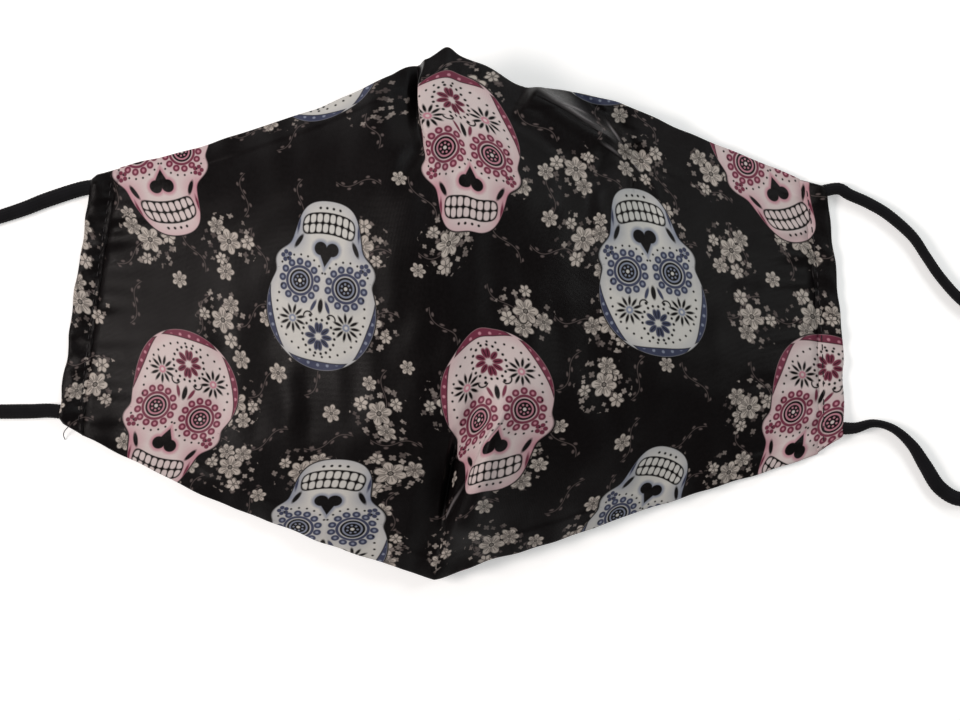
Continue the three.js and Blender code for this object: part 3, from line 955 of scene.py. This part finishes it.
def wrinkleRelief(cloth):
    # height in millimetres over the flat cloth, and the painted highlight on the crests
    across, along = clothGrid()
    seen = clothPlace(across, along, fine=True) / mm
    u, v, shift = flatPlaces(across, along)
    u = u + np.where(np.arange(u.shape[1]) * 2 < u.shape[1], -shift, shift)

    def flatAt(x, y):
        nearest = np.argmin((seen[..., 0] - x) ** 2 + (seen[..., 1] - y) ** 2)
        return u.flat[nearest] / mm, v.flat[nearest] / mm
    height, paintedGlint = 0.0, 0.0
    for start, end, width, rise, glintShare in wrinkles:
        startU, startV = flatAt(*start)
        endU, endV = flatAt(*end)
        halfLength = math.hypot(endU - startU, endV - startV) / 2
        heading = math.atan2(endV - startV, endU - startU)
        line = cloth.moved((startU + endU) / 2, (startV + endV) / 2).turned(heading)
        aside, lengthwise = line.y / width, line.x / halfLength
        hill = (1.0 - aside * aside).most(0.0) * (1.0 - lengthwise * lengthwise).most(0.0)
        height = hill * rise + height
        if glintShare > 0:
            # painted highlight along each crest
            paintedGlint = hill * hill * hill * glintShare + paintedGlint
    return height, paintedGlint


def printedSatin():
    tree = Tree("printedSatin")
    place = tree.place("UV")
    flatU, flatV = tree.add("ShaderNodeSeparateXYZ", {}, {0: place}, 0, 1)
    u, v = flatU - printed["startU"], flatV - printed["startV"]

    column = (u / printed["columnPitch"]).floor()
    odd = (column * 0.5).fract() * 2.0
    slid = v + odd * (printed["rowPitch"] / 2)
    row = (slid / printed["rowPitch"]).floor()
    besideU = u - (column + 0.5) * printed["columnPitch"]
    besideV = slid - (row + 0.5) * printed["rowPitch"]
    upright = 1.0 - odd * 2.0
    lean = (((column + 1.0) * 0.25 + row * 0.5).fract() - 0.5).math("SIGN") * printed["tilt"]
    skull = Ink(tree, besideU * upright, besideV * upright).turnedBy(lean)
    bone, glow, deep, light, dark, bright = calavera(skull)

    clear = printed["darkLine"] - bone
    clusters, clusterDark, clusterReach = blossomClusters(tree, u, v)
    besideClusters, overClusters = printed["singleStart"]
    singles, singleDark = singleBlossoms(tree, u + besideClusters, v + overClusters)
    singles = singles.most(printed["darkLine"] - clusters)
    ragged = tree.noise(place, 0.25, 2.0) * printed["raggedness"] - printed["raggedness"] / 2
    away = (clusterReach + ragged - printed["floretReach"]).most(clear)
    twigs = sprigs(tree, u, v).most(clear)
    flowers = unite(clusters, singles).most(clear)
    boneInk, deepInk, lightInk = (
        tree.blend(odd, printed["rose" + tone], printed["blue" + tone])
        for tone in ("Bone", "Deep", "Light")
    )
    shade = filled(-bone - 0.4, 5.5) * 0.6
    patchy = tree.noise(place, 0.3, 3.0)

    relief, paintedGlint = wrinkleRelief(Ink(tree, flatU, flatV))
    # paints highlights on the wrinkles' crests, standing in for the satin's glints
    groundWithGlints = tree.blend(paintedGlint, printed["black"], printed["crestGlint"])
    cloth = tree.blend(filled(twigs) * 0.8, groundWithGlints, printed["twig"])
    for turn in printed["floretTurns"]:
        tiny, tone = florets(tree, u, v, turn)
        tinyInk = tree.blend(tone * 0.5, printed["twig"], printed["cream"])
        cloth = tree.blend(filled(tiny.most(away)) * (tone * 0.6 + 0.4), cloth, tinyInk)
    petalInk = tree.blend(patchy * 1.4 - 0.2, printed["twig"], printed["cream"])
    cloth = tree.blend(filled(flowers), cloth, tree.blend(0.55, petalInk, printed["cream"]))
    flowerDark = clusterDark.most(clusters).least(singleDark.most(singles)).most(clear)
    cloth = tree.blend(filled(flowerDark), cloth, printed["black"])
    cloth = tree.blend(filled(bone), cloth, tree.blend(shade.most(glow), boneInk, lightInk))
    for shape, ink in ((deep, deepInk), (dark, printed["black"]), (light, lightInk), (bright, boneInk)):
        cloth = tree.blend(filled(shape.most(bone)), cloth, ink)
    wear = tree.noise(place, 0.9, 3.0)
    worn = tree.blend(wear * 0.03, cloth, colour(84, 76, 80))

    warp = (u * (2 * math.pi / printed["warpPitch"])).sin()
    weft = (v * (2 * math.pi / printed["weftPitch"]) + warp * 0.8).sin()
    slub = tree.noise(place, 0.35, 4.0)
    weave = (weft * 0.3 + warp * 0.15 + slub * 1.2) * printed["weaveHeight"]
    tree.bump(weave + relief, 1.0, mm)
    return tree.finish({
        "Base Color": worn,
        "Roughness": wear * 0.14 + 0.3,
        "Specular IOR Level": 0.1,
        "Sheen Weight": 0.01,
        "Sheen Roughness": 0.35,
    })


def plainLining():
    tree = Tree("plainLining")
    place = tree.place("UV")
    nap = tree.noise(place, 2.4, 3.0)
    shade = tree.noise(place, 0.06, 2.0)
    tree.bump(nap, 0.3, 0.0002)
    return tree.finish({
        "Base Color": tree.blend(shade, colour(24, 23, 25), colour(40, 38, 40)),
        "Roughness": 0.85,
        "Specular IOR Level": 0.25,
        "Sheen Weight": 0.15,
    })


satin = printedSatin()
lining = plainLining()
maskCloth, clothWidth, clothLength, clothArea = makePanel(satin, lining)
print("panel made, print of", len(satin.node_tree.nodes), "nodes")


# Side hems: cloth folded round and stitched, with the cords' ends caught in the outer edge

sideHem = {
    "gap": 0.3 * mm,
    "width": 7.5 * mm,
    "thickness": 3.0 * mm,
    "slant": 3.0 * mm,
    "overlap": 0.6 * mm,  # folded edge lying over the panel
    "steps": 260,
    "around": 36,
    "pucker": 0.2 * mm,
    "puckerPitch": 6.5 * mm,
    "wobble": 0.28 * mm,
    "wobblePitch": 11 * mm,
    "floorGap": 0.05 * mm,
    # powers that make the hem's round outline flatter at its edges and on its back
    "flatEdges": 0.55,
    "flatBack": 0.6,
    "cornersFrom": 0.92,  # shares of the half length where the corners and the rounded ends begin
    "endsFrom": 0.985,
    # cut off each side's upper and lower corner
    "cornerRound": {-1: (1.2 * mm, 1.4 * mm), 1: (1.0 * mm, 3.2 * mm)},
    "coverHeight": 1.9 * mm,  # swelling over a cord's end
    "coverLength": 6 * mm,
    "cordPlaces": {-1: (0.82, -0.84), 1: (0.89, -0.815)},
    "stitchLine": 1.7 * mm,  # from the inner edge
    "grooveWidth": 1.1 * mm,
    "stitchPitch": 2.7 * mm,
    "stitchLength": 2.0 * mm,
    "threadRadius": 0.17 * mm,
    "threadSides": 8,
    "threadRings": 9,
    "looseEnd": [(-114.6, -33.4, 2.2), (-115.6, -34.6, 2.5), (-116.1, -35.9, 1.5), (-115.8, -37.2, 0.3)],
}


def sideLine(side, along):
    edge = clothPlace(np.full_like(along, float(side)), along)
    edge[:, 2] = 0
    ahead = unit(np.gradient(edge, axis=0))
    outward = np.stack([ahead[:, 1], -ahead[:, 0], 0 * along], -1) * side
    halfLength = np.linalg.norm(edge[-1] - edge[0]) / 2
    return edge, outward, halfLength


def outFrom(place, along, edge, outward, distance):
    # points at a distance out from places along the panel's edge
    return [
        np.interp(place, along, edge[:, axis]) + np.interp(place, along, outward[:, axis]) * distance
        for axis in (0, 1)
    ]


def hemTop(side, along, out, halfLength):
    # height of the hem's back, with its puckers, its stitch groove and the cords' swellings
    run = along * halfLength
    pucker = sideHem["pucker"] * waves(run + 0 * out, out, sideHem["puckerPitch"], 23 + side)
    fromCord = np.min([np.abs(along - place) for place in sideHem["cordPlaces"][side]], axis=0)
    cover = sideHem["coverHeight"] * swell(fromCord * halfLength, sideHem["coverLength"])
    cover = cover * ramp(out, 0, sideHem["width"])
    fromLine = out - sideHem["stitchLine"]
    stitch = 0.5 + 0.5 * np.cos(2 * np.pi * run / sideHem["stitchPitch"])
    groove = swell(fromLine, sideHem["grooveWidth"]) * (0.25 + 0.3 * stitch) * mm
    return sideHem["thickness"] + pucker + cover - groove


def makeHem(name, node, side, satin, flatEdge):
    along = np.linspace(-1, 1, sideHem["steps"] + 1)
    turn = np.linspace(0, 2 * np.pi, sideHem["around"], endpoint=False)
    shareOut = 0.5 - 0.5 * np.sign(np.cos(turn)) * np.abs(np.cos(turn)) ** sideHem["flatEdges"]
    shareUp = 0.5 + 0.5 * np.sign(np.sin(turn)) * np.abs(np.sin(turn)) ** sideHem["flatBack"]
    innerOut = sideHem["gap"] - sideHem["overlap"] * (shareUp > 0.5)
    out = innerOut + shareOut * (sideHem["width"] + sideHem["gap"] - innerOut)
    edge, outward, halfLength = sideLine(side, along)
    pulled = along[:, None] * (1 - sideHem["slant"] * shareOut[None, :] / halfLength)
    uneven = sideHem["wobble"] * waves(along * halfLength, 0 * along, sideHem["wobblePitch"], 41 + side)
    upper, lower = sideHem["cornerRound"][side]
    start = sideHem["cornersFrom"]
    uneven -= upper * ramp(along, start, 1.0) ** 2 + lower * ramp(-along, start, 1.0) ** 2
    spread = out[None, :] + uneven[:, None] * shareOut[None, :]
    x, y = outFrom(pulled, along, edge, outward, spread)
    top = hemTop(side, pulled, out[None, :], halfLength)
    nearEnd = ramp(np.abs(along), sideHem["endsFrom"], 1.0)
    endRound = np.sqrt(np.clip(1 - nearEnd ** 2 * 0.75, 0, 1))[:, None]
    z = sideHem["floorGap"] + shareUp[None, :] * (top - sideHem["floorGap"]) * endRound
    points = np.stack([x, y, z], -1).reshape(-1, 3)
    around, rings = sideHem["around"], len(along)
    faces = ringFaces(rings, around)
    if side > 0:
        faces = [face[::-1] for face in faces]
    ends = [list(range(around)), list(range((rings - 1) * around, rings * around))]
    ends[1 if side < 0 else 0].reverse()
    profile = np.stack([out, z[rings // 2]], -1)
    wrapped = np.concatenate([[0], np.cumsum(np.linalg.norm(np.diff(profile, axis=0), axis=1))])
    wrapped += out[0] - sideHem["thickness"] / 2  # the print runs on from the panel over the hem's back
    u = np.interp(pulled, flatEdge[0], flatEdge[1]) + side * wrapped[None, :]
    v = np.interp(pulled, flatEdge[0], flatEdge[2])
    flat = np.stack([u, v], -1).reshape(-1, 2) / mm
    faces += ends
    piece = meshPiece(name, points, faces, [satin], flat[np.concatenate(faces)])
    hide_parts(node)
    return piece


def threadRun(line, radius):
    # a thin round thread along a line, closed at both ends
    sides = sideHem["threadSides"]
    ahead = unit(np.gradient(line, axis=0))
    beside = unit(np.cross(ahead, [0, 0, 1.0]))
    over = np.cross(beside, ahead)
    turn = np.linspace(0, 2 * np.pi, sides, endpoint=False)[None, :, None]
    ring = np.cos(turn) * beside[:, None, :] + np.sin(turn) * over[:, None, :]
    points = (line[:, None, :] + ring * radius[:, None, None]).reshape(-1, 3)
    faces = ringFaces(len(line), sides)
    faces.append(list(range(sides)))
    faces.append(list(range(len(line) * sides - 1, (len(line) - 1) * sides - 1, -1)))
    return points, faces


def threadMaterial():
    tree = Tree("blackThread")
    twist = tree.noise(tree.place("Object"), 1500.0, 2.0)
    tree.bump(twist, 0.4, 0.0001)
    black = tree.blend(twist, colour(18, 16, 18), colour(40, 36, 38))
    return tree.finish({"Base Color": black, "Roughness": 0.6, "Specular IOR Level": 0.35})


def makeStitches(name, side, thread):
    along = np.linspace(-1, 1, 400)
    edge, outward, halfLength = sideLine(side, along)
    count = int(2 * halfLength / sideHem["stitchPitch"]) - 2
    threads = []
    for number in range(count):
        middle = (number - (count - 1) / 2) * sideHem["stitchPitch"] / halfLength
        reach = sideHem["stitchLength"] / 2 / halfLength
        spot = np.linspace(middle - reach, middle + reach, sideHem["threadRings"])
        x, y = outFrom(spot, along, edge, outward, sideHem["stitchLine"])
        fromMiddle = np.linspace(-1, 1, sideHem["threadRings"])
        height = hemTop(side, spot, np.full_like(spot, sideHem["stitchLine"]), halfLength)
        height = height.mean() + (0.1 - 0.45 * fromMiddle**4) * mm  # its ends sink into the cloth
        radius = sideHem["threadRadius"] * (1 - 0.5 * fromMiddle**6)
        threads.append(threadRun(np.column_stack([x, y, height]), radius))
    if side < 0:  # a thread's end hangs from the lower left corner
        line, _ = smoothLine(np.array(sideHem["looseEnd"]) * mm, 0.25 * mm)
        threads.append(threadRun(line, np.full(len(line), sideHem["threadRadius"] * 0.8)))
    points, faces = [], []
    for threadPoints, threadFaces in threads:
        faces += [[corner + len(points) for corner in face] for face in threadFaces]
        points += threadPoints.tolist()
    return meshPiece(name, points, faces, [thread])


def flatSide(side):
    # the flat cloth's coordinates along the panel's side edge
    across, along = clothGrid()
    u, v, _ = flatPlaces(across, along)
    column = 0 if side < 0 else -1
    return along[:, column], u[:, column], v[:, column]


hemLeft = makeHem("sideHemLeft", "side_hem_left", -1, satin, flatSide(-1))
hemRight = makeHem("sideHemRight", "side_hem_right", 1, satin, flatSide(1))
thread = threadMaterial()
stitchesLeft = makeStitches("hemStitchesLeft", -1, thread)
stitchesRight = makeStitches("hemStitchesRight", 1, thread)
print("hems and stitches made")
